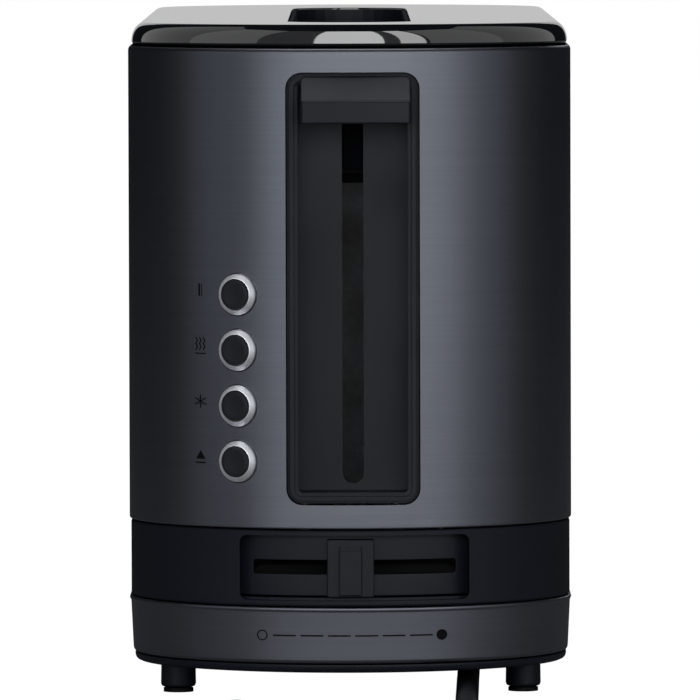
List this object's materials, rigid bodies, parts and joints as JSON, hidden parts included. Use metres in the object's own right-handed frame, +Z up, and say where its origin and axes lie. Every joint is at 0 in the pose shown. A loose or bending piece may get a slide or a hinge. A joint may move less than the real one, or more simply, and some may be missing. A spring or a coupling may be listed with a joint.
{
  "type": "pop up toaster",
  "caption": "Long-slot pop-up toaster with rounded ends: sprung lever carriage, press buttons, browning slider, crumb tray and mains cord with plug.",
  "frame": {"origin": "on the floor, under the middle of the toaster's own bounding box, without its cord and plug", "axes": "+Z up, -Y towards the lever end, +Y towards the crumb tray's handle, +X to the right when facing the lever"},
  "size_m": [0.1408, 0.6358, 0.202],
  "materials": {
    "gunmetal_steel": "brushed steel with a dark gunmetal coat, semi-matt",
    "gloss_black": "high-gloss black",
    "black_metal": "black heat-proof paint",
    "black_plastic": "black plastic, fine satin",
    "satin_silver": "satin silver",
    "zinc_steel": "zinc-plated and nickel-plated steel sheet and wire",
    "aluminium_sheet": "pressed aluminium sheet",
    "coil_copper": "enamelled copper wire",
    "mica": "pressed mica board",
    "circuit_board": "green circuit board",
    "relay_case": "blue relay case",
    "cord_black": "black PVC, satin",
    "black_rubber": "matt black rubber",
    "brass": "bare brass blades"
  },
  "bodies": {
    "housing": {"body_shell": "gunmetal_steel", "top_cover": "gloss_black", "slot_collar": "black_metal", "base_band": "black_plastic", "base_ring": "gunmetal_steel", "bottom_plate": "black_plastic", "base_frame": "black_plastic", "foot_front_left": "black_plastic", "foot_front_right": "black_plastic", "foot_rear_left": "black_plastic", "foot_rear_right": "black_plastic", "foot_pad_front_left": "black_rubber", "foot_pad_front_right": "black_rubber", "foot_pad_rear_left": "black_rubber", "foot_pad_rear_right": "black_rubber", "lever_bezel": "black_plastic", "button_ring_1": "satin_silver", "button_ring_2": "satin_silver", "button_ring_3": "satin_silver", "button_ring_4": "satin_silver", "slider_track": "black_plastic", "slider_resistor": "zinc_steel", "chamber_front_plate": "zinc_steel", "chamber_rear_plate": "zinc_steel", "heater_board_left": "mica", "heater_board_right": "mica", "reflector_left": "zinc_steel", "reflector_right": "zinc_steel", "guide_rod_left": "zinc_steel", "guide_rod_right": "zinc_steel", "carriage_spring": "zinc_steel", "electromagnet_core": "zinc_steel", "electromagnet_coil": "coil_copper", "control_board": "circuit_board", "relay": "relay_case", "capacitor": "black_plastic", "switch_board": "circuit_board", "strain_relief": "black_rubber", "mains_cord": "cord_black", "cord_coil": "cord_black", "cord_tie": "black_rubber", "plug_cord": "cord_black", "plug_body": "cord_black", "plug_blade_left": "brass", "plug_blade_right": "brass"},
    "carriage": {"lever_handle": "black_plastic", "lever_arm": "zinc_steel", "carriage_block": "black_plastic", "latch_plate": "zinc_steel", "bread_rack": "zinc_steel"},
    "guide_left": {"bread_guide_left": "zinc_steel"},
    "guide_right": {"bread_guide_right": "zinc_steel"},
    "slider": {"slider_knob": "black_plastic"},
    "tray": {"crumb_tray": "aluminium_sheet", "crumb_tray_handle": "black_plastic"},
    "button_1": {"button_cap_1": "black_plastic"},
    "button_2": {"button_cap_2": "black_plastic"},
    "button_3": {"button_cap_3": "black_plastic"},
    "button_4": {"button_cap_4": "black_plastic"}
  },
  "joints": [
    {"name": "lever_slide", "type": "slide", "parent": "housing", "child": "carriage", "axis": [0, 0, -1], "range_m": [0, 0.104], "stiffness_N_per_m": 60, "springref_m": -0.06, "deforming": ["carriage_spring"]},
    {"name": "guide_left_slide", "type": "slide", "parent": "housing", "child": "guide_left", "axis": [1, 0, 0], "range_m": [0, 0.0061]},
    {"name": "guide_right_slide", "type": "slide", "parent": "housing", "child": "guide_right", "axis": [-1, 0, 0], "range_m": [0, 0.0061]},
    {"name": "browning_slide", "type": "slide", "parent": "housing", "child": "slider", "axis": [1, 0, 0], "range_m": [-0.024, 0.024]},
    {"name": "crumb_tray_slide", "type": "slide", "parent": "housing", "child": "tray", "axis": [0, 1, 0], "range_m": [0, 0.28]},
    {"name": "one_side_button_press", "type": "slide", "parent": "housing", "child": "button_1", "axis": [0.4824, 0.876, 0], "range_m": [0, 0.0015], "stiffness_N_per_m": 400, "springref_m": -0.001},
    {"name": "reheat_button_press", "type": "slide", "parent": "housing", "child": "button_2", "axis": [0.4824, 0.876, 0], "range_m": [0, 0.0015], "stiffness_N_per_m": 400, "springref_m": -0.001},
    {"name": "defrost_button_press", "type": "slide", "parent": "housing", "child": "button_3", "axis": [0.4824, 0.876, 0], "range_m": [0, 0.0015], "stiffness_N_per_m": 400, "springref_m": -0.001},
    {"name": "stop_button_press", "type": "slide", "parent": "housing", "child": "button_4", "axis": [0.4824, 0.876, 0], "range_m": [0, 0.0015], "stiffness_N_per_m": 400, "springref_m": -0.001}
  ],
  "couplings": [
    {"joint": "guide_left_slide", "follows": "lever_slide", "ratio": 0.057692},
    {"joint": "guide_right_slide", "follows": "lever_slide", "ratio": 0.057692}
  ]
}
